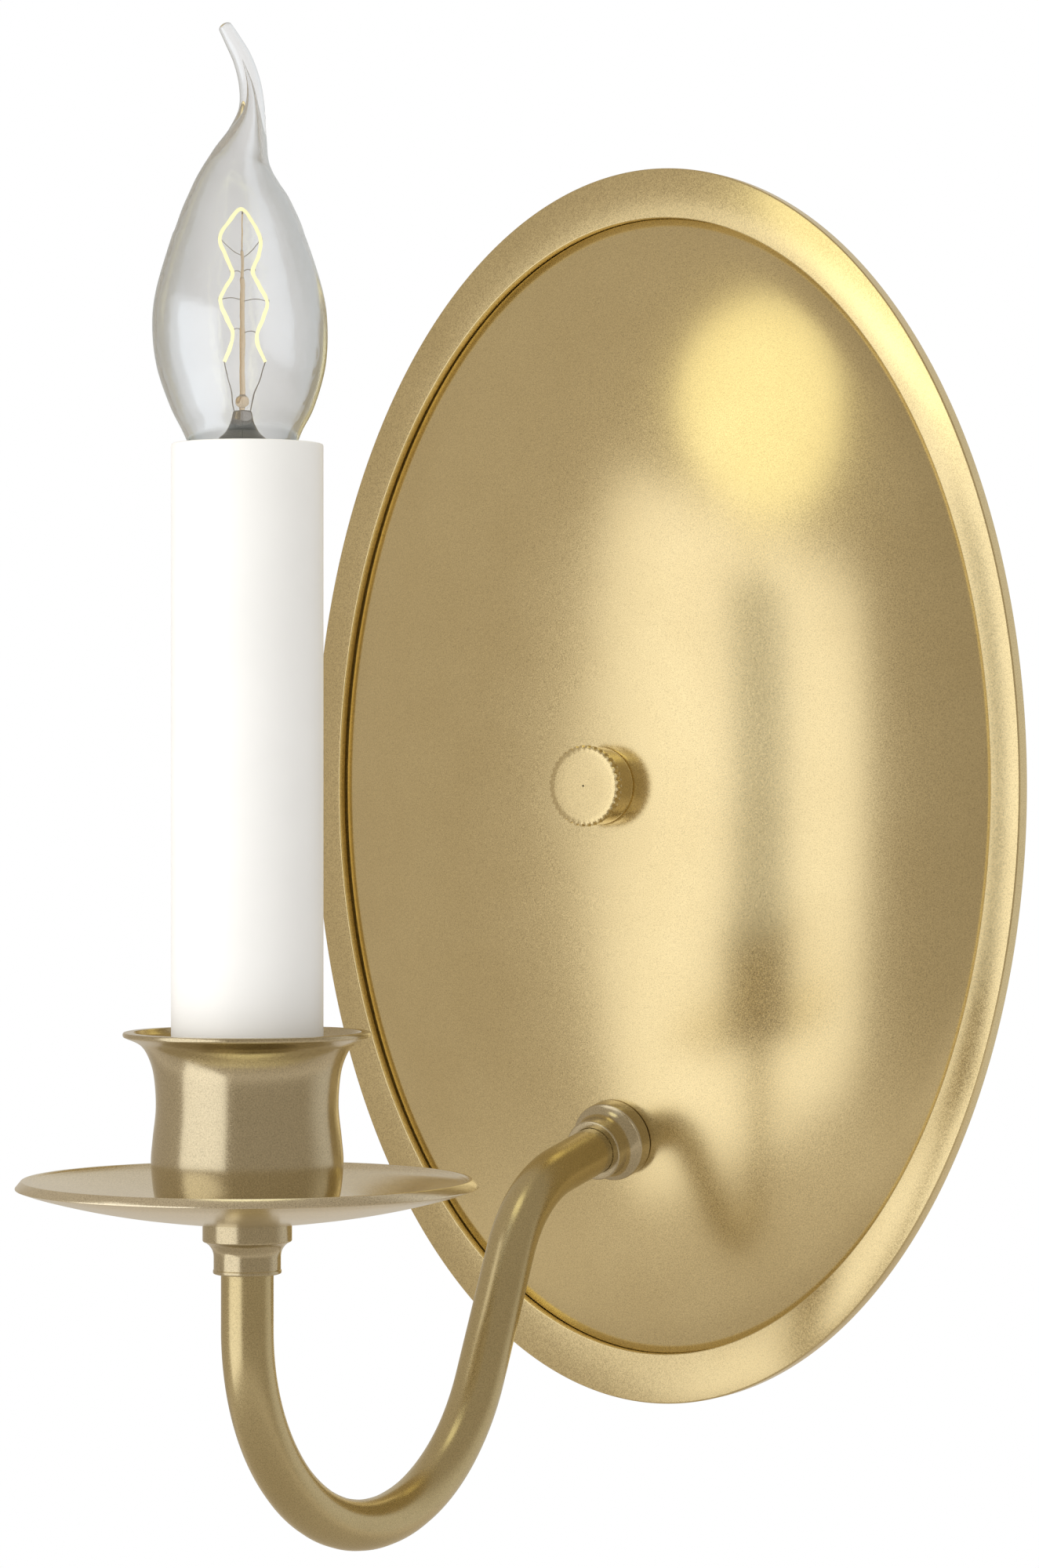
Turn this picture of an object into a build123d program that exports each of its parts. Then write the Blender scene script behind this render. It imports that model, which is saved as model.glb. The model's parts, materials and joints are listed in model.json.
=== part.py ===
"""Wall sconce with an oval backplate, one J-shaped arm and an electric candle.

Millimetres. +Z is up, the wall is the plane Y = 0 and the sconce stands out
of it along -Y. The origin is the centre of the plate's stud on the wall.
"""
import math
import os

from build123d import *

# backplate
RIM_HALF_WIDTH = 84.3
RIM_HALF_HEIGHT = 127.0
RIM_HOLE_HALF_WIDTH = 77.8
RIM_HOLE_HALF_HEIGHT = 116.8
RIM_THICK = 3.3
REBATE_WIDTH = 4.0
REBATE_DEPTH = 1.3
DOME_HALF_WIDTH = 77.3
DOME_HALF_HEIGHT = 116.6
DOME_LIP = 4.0
DOME_RISE = 22.8
DOME_LAND = 9.0
DOME_POWER = 2.4
DOME_SHEET = 1.2

# wall hardware
STRAP_LENGTH = 104.0
STRAP_WIDTH = 20.0
STRAP_THICK = 2.5
SLOT_SPACING = 79.4
SLOT_LENGTH = 14.0
SLOT_RADIUS = 2.25
STUD_RADIUS = 3.175
STUD_END = 27.6
GROUND_X = 20.0

# thumb nut
NUT_SEAT = 22.81
NUT_FACE = 29.6
NUT_HEAD_THICK = 1.7
NUT_HEAD_RADIUS = 8.2
NUT_BODY_RADIUS = 7.85
NUT_TEETH = 36
NUT_RECESS_RADIUS = 5.6

# arm, as lines and arcs in the plane X = 0
CANDLE_Y = -144.3
TUBE_RADIUS = 4.76
TUBE_BORE = 3.76
TUBE_INSERT = 3.3
DROP_END_Z = -97.95
BEND_RADIUS = 40.2
BEND_ANGLE = 155.2
LIMB_LENGTH = 26.0
TOP_BEND_RADIUS = 26.5
ENTRY_TILT = 13.0

# collars at both ends of the arm, measured from the mating face
COLLAR_LENGTH = 9.15
COLLAR_RING_RADIUS = 8.05
COLLAR_RING_THICK = 3.45
COLLAR_NECK_RADIUS = 6.05
NIPPLE_RADIUS = 4.85
NIPPLE_BORE = 3.4

# dish, cup and candle
DISH_SEAT_Z = -78.65
CUP_SEAT_Z = -77.2
CUP_FLOOR_Z = -76.0
SLEEVE_RADIUS = 13.7
SLEEVE_BORE = 12.9
SLEEVE_TOP_Z = 61.4
SOCKET_BASE_Z = 22.0
SOCKET_TOP_Z = 49.6
LEAD_RADIUS = 1.1
LEAD_OFFSET = 1.35

# bulb
BULB_SIDE = (-0.843, -0.538, 0)
BULB_LEAN = 0.9
CAP_RADIUS = 5.95
CAP_TOP_Z = 50.0
CAP_BASE_Z = 36.6
STEM_TOP_Z = 67.6
GLASS_WALL = 0.7
# height, radius and sideways offset of the glass, from the cap to the bent tip
GLASS = [
    (45.0, 5.5, 0.0),
    (50.2, 5.5, 0.0),
    (53.5, 6.7, 0.3),
    (58.0, 8.5, 0.7),
    (63.4, 10.6, 0.9),
    (68.0, 12.9, 0.9),
    (75.0, 15.1, 1.1),
    (82.0, 15.8, 1.3),
    (88.5, 15.1, 1.4),
    (97.0, 12.6, 1.5),
    (104.0, 9.95, 1.7),
    (108.5, 7.65, 1.7),
    (112.4, 5.5, 1.2),
    (116.9, 3.6, 0.0),
    (121.4, 2.4, -0.8),
    (126.0, 2.0, -0.5),
    (130.5, 1.8, 0.8),
    (134.0, 1.5, 2.6),
    (137.2, 0.9, 4.4),
]
# sideways offset from the rod and height along the hourglass loop
FILAMENT = [
    (3.2, 76.5),
    (1.8, 81.6),
    (4.0, 87.3),
    (1.8, 92.2),
    (4.0, 98.3),
    (0.0, 103.6),
    (-3.2, 98.0),
    (-1.9, 92.4),
    (-4.5, 87.0),
    (-2.7, 81.2),
    (-4.0, 76.5),
]
# offset and height of the ends of the support wires, in order up the rod
SUPPORTS = [
    (1.8, 81.9),
    (-2.6, 81.4),
    (4.0, 87.3),
    (-4.5, 87.0),
    (1.8, 92.2),
    (-1.9, 92.4),
    (4.0, 98.3),
    (-3.2, 98.0),
]

OUT = Plane(origin=(0, 0, 0), x_dir=(1, 0, 0), z_dir=(0, -1, 0))
CANDLE = Pos(0, CANDLE_Y, 0)
LEAN = (BULB_SIDE[0] * BULB_LEAN, CANDLE_Y + BULB_SIDE[1] * BULB_LEAN, 0)
INSIDE = Pos(*LEAN)
LOOP_PLANE = Plane(origin=LEAN, x_dir=BULB_SIDE, z_dir=(BULB_SIDE[1], -BULB_SIDE[0], 0))


def rod(radius, low, high, bore=0.0):
    """Round bar or tube along Z."""
    shape = Pos(0, 0, low) * extrude(Circle(radius), high - low)
    if bore:
        shape -= Pos(0, 0, low) * extrude(Circle(bore), high - low)
    return shape


def hexagon(flats, low, high, bore):
    """Hexagon nut along Z with a round hole."""
    nut = extrude(RegularPolygon(flats / 2, 6, major_radius=False), high - low)
    return Pos(0, 0, low) * nut - rod(bore, low, high)


def turned(points):
    """Solid of revolution about Z from a closed outline of (radius, height)."""
    outline = Polyline(*[(r, 0, z) for r, z in points], close=True)
    return revolve(make_face(outline), Axis.Z)


def dome_height(radius):
    """Height of the dome's front above the wall along its long axis."""
    if radius <= DOME_LAND:
        return DOME_RISE
    share = (radius - DOME_LAND) / (DOME_HALF_HEIGHT - DOME_LAND)
    return REBATE_DEPTH + (DOME_RISE - REBATE_DEPTH) * (1 - share**DOME_POWER)


def dome_point(radius, depth):
    """Point of the dome's section, sunk by depth below the front surface."""
    slope = (dome_height(radius + 0.01) - dome_height(radius - 0.01)) / 0.02
    length = math.hypot(1, slope)
    return (radius + slope * depth / length, 0, dome_height(radius) - depth / length)


def dome_blank(depth):
    """Filled dome above its lip, sunk by depth below the front surface."""
    narrow = DOME_HALF_WIDTH / DOME_HALF_HEIGHT
    sections = []
    for radius in (DOME_HALF_HEIGHT, 108, 100, 88, 74, 58, 42, 26, DOME_LAND + 0.5):
        reach, _, height = dome_point(radius, depth)
        sections.append(Pos(0, 0, height) * Ellipse(reach * narrow, reach))
    return loft(sections)


def arm_curve(top_z, tail):
    """Centreline of the arm from a height in the neck to the plate's collar.

    tail is the distance from the collar's seat on the dome to the end.
    """
    drop = Line((CANDLE_Y, top_z), (CANDLE_Y, DROP_END_Z))
    bend = JernArc(drop @ 1, (0, -1), BEND_RADIUS, BEND_ANGLE)
    limb = Line(bend @ 1, bend @ 1 + bend % 1 * LIMB_LENGTH)
    turn = 180 - BEND_ANGLE - 90 + ENTRY_TILT
    top = JernArc(limb @ 1, limb % 1, TOP_BEND_RADIUS, turn)
    seat = arm_seat(top @ 1)
    entry = Line(top @ 1, seat - top % 1 * tail)
    return Plane.YZ * (drop + bend + limb + top + entry)


def arm_seat(start):
    """Point where the arm's entry line meets the dome's front."""
    tilt = math.radians(ENTRY_TILT)
    reach = 0.0
    for _ in range(30):
        height = dome_height(abs(start.Y + math.sin(tilt) * reach))
        reach = (-start.X - height) / math.cos(tilt)
    return start + Vector(math.cos(tilt), math.sin(tilt)) * reach


def seat_plane():
    """Frame of the plate's collar: its Z leaves the dome along the arm."""
    curve = arm_curve(DROP_END_Z + 10, 0)
    tilt = math.radians(ENTRY_TILT)
    return Plane(origin=curve @ 1, x_dir=(1, 0, 0), z_dir=(0, -math.cos(tilt), -math.sin(tilt)))


def along_arm(radius, bore, top_z, tail, shift=0.0):
    curve = arm_curve(top_z, tail)
    section = Circle(radius)
    if bore:
        section -= Circle(bore)
    start = Plane(origin=curve @ 0, z_dir=(0, 0, -1))
    return Pos(shift, 0, 0) * sweep(start * section, path=curve)


def collar(sunk):
    """Stepped collar with its mating face at Z = 0 and the arm leaving up Z."""
    split = COLLAR_LENGTH - TUBE_INSERT
    points = [
        (NIPPLE_RADIUS, -sunk),
        (COLLAR_RING_RADIUS, -sunk),
        (COLLAR_RING_RADIUS, COLLAR_RING_THICK - 0.4),
        (COLLAR_RING_RADIUS - 0.15, COLLAR_RING_THICK - 0.1),
        (COLLAR_RING_RADIUS - 0.5, COLLAR_RING_THICK),
        (COLLAR_NECK_RADIUS + 0.85, COLLAR_RING_THICK + 0.45),
        (COLLAR_NECK_RADIUS + 0.3, COLLAR_RING_THICK + 1.1),
        (COLLAR_NECK_RADIUS, COLLAR_RING_THICK + 2.2),
        (COLLAR_NECK_RADIUS, COLLAR_LENGTH - 0.75),
        (COLLAR_NECK_RADIUS + 0.12, COLLAR_LENGTH - 0.6),
        (COLLAR_NECK_RADIUS + 0.12, COLLAR_LENGTH - 0.2),
        (COLLAR_NECK_RADIUS - 0.1, COLLAR_LENGTH),
        (TUBE_RADIUS, COLLAR_LENGTH),
        (TUBE_RADIUS, split),
        (NIPPLE_RADIUS, split),
    ]
    return turned(points)


# wall bracket


def mounting_strap():
    strap = extrude(SlotOverall(STRAP_LENGTH, STRAP_WIDTH), STRAP_THICK)
    for side in (-1, 1):
        slot = extrude(SlotOverall(SLOT_LENGTH, 2 * SLOT_RADIUS), STRAP_THICK)
        strap -= Pos(side * SLOT_SPACING / 2, 0, 0) * slot
    strap -= rod(STUD_RADIUS, 0, STRAP_THICK)
    strap -= Pos(-GROUND_X, 0, 0) * rod(1.9, 0, STRAP_THICK)
    return OUT * strap


def center_stud():
    return OUT * (rod(STUD_RADIUS, 0.2, STUD_END - 0.6) + turned(
        [(0, STUD_END - 0.6), (STUD_RADIUS, STUD_END - 0.6), (2.5, STUD_END), (0, STUD_END)]
    ))


def stud_lock_nut():
    return OUT * hexagon(11.1, STRAP_THICK, STRAP_THICK + 4.0, STUD_RADIUS)


def ground_screw():
    head = hexagon(6.35, STRAP_THICK, STRAP_THICK + 2.4, 0.4)
    head += rod(4.2, STRAP_THICK, STRAP_THICK + 0.8)
    slot = Pos(0, 0, STRAP_THICK + 2.4) * Box(8, 1.1, 1.6)
    return OUT * Pos(-GROUND_X, 0, 0) * (head + rod(1.9, 0.2, STRAP_THICK) - slot)


# thumb nut


def nut_washer():
    return OUT * rod(NUT_RECESS_RADIUS - 0.05, NUT_SEAT, NUT_SEAT + 0.95, 3.4)


def thumb_nut():
    head_low = NUT_FACE - NUT_HEAD_THICK
    teeth = []
    for step in range(NUT_TEETH):
        for part, radius in ((0.0, 0.955), (0.28, 1.0), (0.72, 1.0)):
            turn = 2 * math.pi * (step + part) / NUT_TEETH
            reach = NUT_HEAD_RADIUS * radius
            teeth.append((reach * math.cos(turn), reach * math.sin(turn)))
    head = Pos(0, 0, head_low) * extrude(make_face(Polyline(*teeth, close=True)), NUT_HEAD_THICK)
    head &= turned([
        (0, head_low),
        (NUT_BODY_RADIUS, head_low),
        (NUT_HEAD_RADIUS + 0.01, head_low + 0.3),
        (NUT_HEAD_RADIUS + 0.01, NUT_FACE - 0.3),
        (NUT_BODY_RADIUS - 0.1, NUT_FACE),
        (0, NUT_FACE),
    ])
    body = turned([
        (0, NUT_SEAT),
        (NUT_BODY_RADIUS - 0.7, NUT_SEAT),
        (NUT_BODY_RADIUS - 0.2, NUT_SEAT + 0.25),
        (NUT_BODY_RADIUS, NUT_SEAT + 0.7),
        (NUT_BODY_RADIUS, head_low + 0.1),
        (0, head_low + 0.1),
    ])
    bore = rod(STUD_RADIUS + 0.05, NUT_SEAT, STUD_END + 0.4)
    recess = rod(NUT_RECESS_RADIUS, NUT_SEAT, NUT_SEAT + 1.0)
    return OUT * (head + body - bore - recess)


# backplate


def backplate_rim():
    edge = 0.3
    ring = extrude(Ellipse(RIM_HALF_WIDTH, RIM_HALF_HEIGHT), RIM_THICK - edge)
    ring += Pos(0, 0, RIM_THICK - edge) * loft([
        Sketch() + Ellipse(RIM_HALF_WIDTH, RIM_HALF_HEIGHT),
        Pos(0, 0, edge) * Ellipse(RIM_HALF_WIDTH - edge, RIM_HALF_HEIGHT - edge),
    ])
    ring -= extrude(Ellipse(RIM_HOLE_HALF_WIDTH, RIM_HOLE_HALF_HEIGHT), RIM_THICK)
    rebate = Ellipse(RIM_HOLE_HALF_WIDTH + REBATE_WIDTH, RIM_HOLE_HALF_HEIGHT + REBATE_WIDTH)
    return OUT * (ring - extrude(rebate, REBATE_DEPTH))


def backplate_dome():
    narrow = DOME_HALF_WIDTH / DOME_HALF_HEIGHT
    lip = Ellipse(DOME_HALF_WIDTH + DOME_LIP * narrow, DOME_HALF_HEIGHT + DOME_LIP)
    dome = dome_blank(0) + Pos(0, 0, 0.1) * extrude(lip, REBATE_DEPTH - 0.1)
    reach, _, height = dome_point(DOME_HALF_HEIGHT, DOME_SHEET)
    mouth = Pos(0, 0, 0.1) * extrude(Ellipse(reach * narrow, reach), height - 0.1)
    dome -= dome_blank(DOME_SHEET)
    dome -= mouth
    dome -= rod(STUD_RADIUS + 0.08, DOME_RISE - 4, DOME_RISE + 1)
    return OUT * dome - seat_plane() * rod(NIPPLE_RADIUS + 0.35, -6, 4)


# arm


def arm_flange():
    return seat_plane() * collar(0.04)


def arm_nipple():
    split = COLLAR_LENGTH - TUBE_INSERT
    return seat_plane() * rod(NIPPLE_RADIUS, -8.5, split, NIPPLE_BORE)


def arm_lock_washer():
    return seat_plane() * rod(7.2, -2.6, -1.48, NIPPLE_RADIUS)


def arm_lock_nut():
    return seat_plane() * hexagon(13.0, -6.6, -2.6, NIPPLE_RADIUS)


def arm_tube():
    top_z = DISH_SEAT_Z - COLLAR_LENGTH + TUBE_INSERT
    return along_arm(TUBE_RADIUS, TUBE_BORE, top_z, COLLAR_LENGTH - TUBE_INSERT)


def arm_neck():
    return CANDLE * Pos(0, 0, DISH_SEAT_Z) * Rot(180, 0, 0) * collar(0.0)


def lead(side):
    return along_arm(LEAD_RADIUS, 0, SOCKET_BASE_Z, -8.5, side * LEAD_OFFSET)


# dish and cup


def cup_nipple():
    low = DISH_SEAT_Z - COLLAR_LENGTH + TUBE_INSERT
    return CANDLE * rod(NIPPLE_RADIUS, low, -66.0, NIPPLE_BORE)


def bobeche():
    under = Spline(
        (9.0, 0, DISH_SEAT_Z),
        (13.5, 0, -78.2),
        (21.8, 0, -77.05),
        (28.4, 0, -75.85),
        (33.5, 0, -74.7),
        (38.3, 0, -73.45),
        (41.5, 0, -72.35),
    )
    over = Spline(
        (39.7, 0, -71.15),
        (37.8, 0, -72.1),
        (33.2, 0, -73.35),
        (28.2, 0, -74.45),
        (21.6, 0, -75.65),
        (14.5, 0, CUP_SEAT_Z),
        tangents=[(-1, 0, -0.6), (-1, 0, -0.02)],
    )
    over_end = over @ 1
    rim = Polyline(under @ 1, (41.6, 0, -72.2), (40.4, 0, -70.8), (40.0, 0, -70.8), over @ 0)
    hole = NIPPLE_RADIUS + 0.1
    hub = Polyline(over_end, (hole, 0, CUP_SEAT_Z), (hole, 0, DISH_SEAT_Z), under @ 0)
    return CANDLE * revolve(make_face(under + rim + over + hub), Axis.Z)


def candle_cup():
    outside = Spline(
        (21.9, 0, -45.3),
        (19.24, 0, -46.6),
        (17.76, 0, -48.8),
        (16.78, 0, -52.2),
        (16.42, 0, -57.8),
        (16.99, 0, -63.5),
        (17.3, 0, -68.0),
        (16.7, 0, -73.8),
        (15.5, 0, -76.2),
        (13.6, 0, CUP_SEAT_Z),
    )
    inside = Spline(
        (13.9, 0, CUP_FLOOR_Z),
        (15.1, 0, -75.0),
        (15.9, 0, -72.8),
        (16.4, 0, -68.0),
        (16.05, 0, -63.5),
        (15.5, 0, -57.8),
        (15.9, 0, -52.2),
        (16.75, 0, -49.2),
        (18.3, 0, -46.7),
        (20.0, 0, -45.2),
    )
    bottom = Polyline(
        outside @ 1,
        (NIPPLE_RADIUS + 0.1, 0, CUP_SEAT_Z),
        (NIPPLE_RADIUS + 0.1, 0, CUP_FLOOR_Z),
        inside @ 0,
    )
    lip = Polyline(
        inside @ 1,
        (20.4, 0, -44.3),
        (22.1, 0, -44.3),
        (22.35, 0, -44.5),
        (22.35, 0, -45.1),
        outside @ 0,
    )
    return CANDLE * revolve(make_face(outside + bottom + inside + lip), Axis.Z)


def cup_washer():
    return CANDLE * rod(8.5, CUP_FLOOR_Z, CUP_FLOOR_Z + 0.8, NIPPLE_RADIUS)


def cup_lock_nut():
    return CANDLE * hexagon(14.0, CUP_FLOOR_Z + 0.8, CUP_FLOOR_Z + 4.3, NIPPLE_RADIUS)


# socket and candle sleeve


def socket_bracket():
    low = CUP_FLOOR_Z + 4.3
    base = Pos(0, 0, low) * extrude(Rectangle(21.4, 11.0), 1.5)
    for side in (-1, 1):
        leg = Pos(side * 10.1, 0, low) * extrude(Rectangle(1.2, 8.0), 32.0 - low)
        base += leg
    base -= rod(NIPPLE_RADIUS, low, low + 1.5)
    base -= Pos(0, 0, 27) * Rot(0, 90, 0) * rod(1.2, -12, 12)
    return CANDLE * base


def socket_body():
    lower = rod(10.3, SOCKET_BASE_Z, 38)
    lower &= Pos(0, 0, SOCKET_BASE_Z) * extrude(Rectangle(19.0, 18.8), 16)
    collar_ring = turned([
        (0, 38),
        (11.2, 38),
        (SLEEVE_BORE - 0.08, 40),
        (SLEEVE_BORE - 0.08, SOCKET_TOP_Z - 1),
        (SLEEVE_BORE - 1.1, SOCKET_TOP_Z),
        (0, SOCKET_TOP_Z),
    ])
    body = lower + collar_ring
    body -= rod(6.42, 31.5, SOCKET_TOP_Z)
    body -= Pos(0, 0, 27) * Rot(0, 90, 0) * rod(1.2, 6.5, 12)
    body -= Pos(0, 0, 27) * Rot(0, 90, 0) * rod(1.2, -12, -6.5)
    body -= Pos(0, 0, 28) * Rot(90, 0, 0) * rod(1.5, 6.0, 12)
    body -= Pos(0, 0, 28) * Rot(90, 0, 0) * rod(1.5, -12, -6.0)
    return CANDLE * body


def bracket_rivets():
    rivet = rod(1.2, 6.5, 10.7) + rod(2.0, 10.7, 11.5)
    pair = [Pos(0, 0, 27) * Rot(0, turn, 0) * rivet for turn in (90, -90)]
    return Compound([CANDLE * one for one in pair])


def terminal_screws():
    screw = rod(1.5, 6.0, 9.4) + rod(2.8, 9.4, 11.2)
    screw -= Pos(0, 0, 11.2) * Box(6, 0.8, 1.6)
    pair = [Pos(0, 0, 28) * Rot(turn, 0, 0) * screw for turn in (90, -90)]
    return Compound([CANDLE * one for one in pair])


def socket_shell():
    return CANDLE * rod(6.42, 33.6, SOCKET_TOP_Z, CAP_RADIUS + 0.07)


def socket_contact():
    return CANDLE * turned([(0, 31.5), (3.6, 31.5), (3.6, 32.1), (2.4, 32.8), (1.2, 33.0), (0, 33.0)])


def candle_sleeve():
    return CANDLE * turned([
        (SLEEVE_BORE, CUP_FLOOR_Z),
        (SLEEVE_RADIUS, CUP_FLOOR_Z),
        (SLEEVE_RADIUS, SLEEVE_TOP_Z - 0.3),
        (SLEEVE_RADIUS - 0.3, SLEEVE_TOP_Z),
        (SLEEVE_BORE + 0.2, SLEEVE_TOP_Z),
        (SLEEVE_BORE, SLEEVE_TOP_Z - 0.2),
    ])


# bulb


def bulb_contact():
    return CANDLE * turned([(0, 33.0), (1.6, 33.0), (2.4, 33.5), (2.4, 34.4), (0, 34.4)])


def bulb_insulator():
    return CANDLE * turned([
        (0, 34.4),
        (3.0, 34.4),
        (5.0, CAP_BASE_Z),
        (5.55, CAP_BASE_Z),
        (5.55, 38.0),
        (0, 38.0),
    ])


def bulb_cap():
    return CANDLE * rod(CAP_RADIUS, CAP_BASE_Z, CAP_TOP_Z, 5.55)


def glass_blank(wall, rows):
    sections = []
    for height, radius, lean in rows:
        place = Pos(BULB_SIDE[0] * lean, BULB_SIDE[1] * lean, height)
        sections.append(place * Circle(radius - wall))
    return loft(sections)


def bulb_glass():
    outer = glass_blank(0, GLASS)
    inner = glass_blank(GLASS_WALL, GLASS[:-3])
    return CANDLE * (outer - inner)


def bulb_stem():
    return INSIDE * turned([
        (0, 45.0),
        (3.3, 45.0),
        (3.3, 54.0),
        (4.6, 60.5),
        (4.4, 62.4),
        (2.7, 64.0),
        (2.1, 65.4),
        (1.7, STEM_TOP_Z),
        (0, STEM_TOP_Z),
    ])


def bulb_rod():
    return INSIDE * turned([
        (0, STEM_TOP_Z),
        (0.5, STEM_TOP_Z),
        (0.6, 68.2),
        (1.2, 68.8),
        (1.2, 69.6),
        (0.5, 70.2),
        (0.45, 91.0),
        (0.3, 91.2),
        (0.3, 96.0),
        (0.15, 96.2),
        (0.15, 103.0),
        (0, 103.0),
    ])


def wire(radius, start, end):
    """Thin straight wire in the loop's plane, between two (offset, height)."""
    path = LOOP_PLANE * Line(start, end)
    return sweep(Plane(origin=path @ 0, z_dir=path % 0) * Circle(radius), path=path)


def bulb_supports():
    wires = []
    for offset, height in SUPPORTS:
        side = math.copysign(1, offset)
        root = (side * 0.48, height + (2.5 if height > 97 else 0))
        wires.append(wire(0.12, root, (offset - side * 0.45, height)))
    wires.append(wire(0.12, (0, 103.02), (0, 103.2)))
    return Compound(wires)


def bulb_filament():
    path = LOOP_PLANE * Spline(*FILAMENT)
    return sweep(Plane(origin=path @ 0, z_dir=path % 0) * Circle(0.35), path=path)


def bulb_leads():
    wires = []
    for end in (FILAMENT[0], FILAMENT[-1]):
        side = math.copysign(1, end[0])
        wires.append(wire(0.2, (side * 1.45, STEM_TOP_Z + 0.1), (end[0], end[1] - 0.4)))
    return Compound(wires)


# one file per piece

SHAPES = {
    "mounting_strap": mounting_strap,
    "center_stud": center_stud,
    "stud_lock_nut": stud_lock_nut,
    "ground_screw": ground_screw,
    "nut_washer": nut_washer,
    "thumb_nut": thumb_nut,
    "backplate_rim": backplate_rim,
    "backplate_dome": backplate_dome,
    "arm_flange": arm_flange,
    "arm_nipple": arm_nipple,
    "arm_lock_washer": arm_lock_washer,
    "arm_lock_nut": arm_lock_nut,
    "arm_tube": arm_tube,
    "arm_neck": arm_neck,
    "cup_nipple": cup_nipple,
    "bobeche": bobeche,
    "candle_cup": candle_cup,
    "cup_washer": cup_washer,
    "cup_lock_nut": cup_lock_nut,
    "socket_bracket": socket_bracket,
    "socket_body": socket_body,
    "bracket_rivets": bracket_rivets,
    "terminal_screws": terminal_screws,
    "socket_shell": socket_shell,
    "socket_contact": socket_contact,
    "candle_sleeve": candle_sleeve,
    "bulb_contact": bulb_contact,
    "bulb_insulator": bulb_insulator,
    "bulb_cap": bulb_cap,
    "bulb_glass": bulb_glass,
    "bulb_stem": bulb_stem,
    "bulb_rod": bulb_rod,
    "bulb_supports": bulb_supports,
    "bulb_filament": bulb_filament,
    "bulb_leads": bulb_leads,
}

os.makedirs("parts", exist_ok=True)
for name, build in SHAPES.items():
    export_step(build(), f"parts/{name}.step")
export_step(lead(-1), "parts/lead_hot.step")
export_step(lead(1), "parts/lead_neutral.step")
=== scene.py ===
"""Looks of the wall sconce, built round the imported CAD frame. Metres, +Z up, wall at Y = 0."""

import json
import math

import bmesh
import bpy
from mathutils import Matrix, Vector

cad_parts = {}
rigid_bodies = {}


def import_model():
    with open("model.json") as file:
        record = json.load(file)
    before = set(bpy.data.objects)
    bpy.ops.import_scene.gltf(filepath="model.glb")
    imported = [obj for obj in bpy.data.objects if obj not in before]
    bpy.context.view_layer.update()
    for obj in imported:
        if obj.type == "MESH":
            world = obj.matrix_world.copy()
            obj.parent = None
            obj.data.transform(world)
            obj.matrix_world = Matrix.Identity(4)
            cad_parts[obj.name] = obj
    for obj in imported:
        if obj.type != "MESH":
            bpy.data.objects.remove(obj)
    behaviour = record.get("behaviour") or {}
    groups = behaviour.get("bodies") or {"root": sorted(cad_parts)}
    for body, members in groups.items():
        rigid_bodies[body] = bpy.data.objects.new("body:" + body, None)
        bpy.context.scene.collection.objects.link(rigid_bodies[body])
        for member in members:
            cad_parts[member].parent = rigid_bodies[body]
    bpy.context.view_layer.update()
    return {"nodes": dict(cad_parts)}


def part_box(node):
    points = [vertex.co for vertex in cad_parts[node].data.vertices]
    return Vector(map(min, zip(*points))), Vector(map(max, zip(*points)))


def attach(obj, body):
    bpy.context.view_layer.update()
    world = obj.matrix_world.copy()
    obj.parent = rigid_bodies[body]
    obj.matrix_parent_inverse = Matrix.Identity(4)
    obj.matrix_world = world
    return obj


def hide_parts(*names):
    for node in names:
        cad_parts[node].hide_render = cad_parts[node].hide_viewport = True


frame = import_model()
MM = 0.001
WALL = Matrix(((1, 0, 0, 0), (0, 0, -1, 0), (0, 1, 0, 0), (0, 0, 0, 1)))


def centre(node):
    low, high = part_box(node)
    return (low + high) / 2


def size(node):
    low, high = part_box(node)
    return (high - low) / MM


CANDLE_Y = centre("candle_sleeve").y / MM
CANDLE = Matrix.Translation((0, CANDLE_Y * MM, 0))
TILT = math.radians(13.0)
SEAT_OUT = Vector((0, -math.cos(TILT), -math.sin(TILT)))
SEAT_UP = Vector((0, -math.sin(TILT), math.cos(TILT)))
SEAT_AT = centre("arm_nipple") + SEAT_OUT * 1.325 * MM
SEAT = Matrix.Translation(SEAT_AT) @ Matrix((
    (1, 0, 0, 0),
    (0, SEAT_UP.y, SEAT_OUT.y, 0),
    (0, SEAT_UP.z, SEAT_OUT.z, 0),
    (0, 0, 0, 1),
))
BULB_SIDE = Vector((-0.843, -0.538, 0))
BULB_FACE = Vector((BULB_SIDE.y, -BULB_SIDE.x, 0))
BULB_LEAN = 0.9
INSIDE = CANDLE @ Matrix.Translation(BULB_SIDE * BULB_LEAN * MM)


# materials


# sockets of a Mix node that mixes colours, which share their names with its other kinds
MIX_FIRST, MIX_SECOND, MIX_RESULT = 6, 7, 2


class Nodes:
    """Short hand for a material's or world's node tree."""

    def __init__(self, tree):
        self.tree = tree
        self.tree.nodes.clear()

    def add(self, kind, **values):
        node = self.tree.nodes.new(kind)
        for key, value in values.items():
            if key in node.inputs:
                node.inputs[key].default_value = value
            else:
                setattr(node, key, value)
        return node

    def link(self, source, output, target, socket):
        self.tree.links.new(source.outputs[output], target.inputs[socket])


def new_material(name):
    material = bpy.data.materials.new(name)
    material.use_nodes = True
    return material, Nodes(material.node_tree)


def noise(nodes, scale, detail):
    """Noise fixed to the piece; scale is in features per metre."""
    place = nodes.add("ShaderNodeTexCoord")
    texture = nodes.add("ShaderNodeTexNoise", Scale=scale, Detail=detail)
    nodes.link(place, "Object", texture, "Vector")
    return texture


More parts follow.
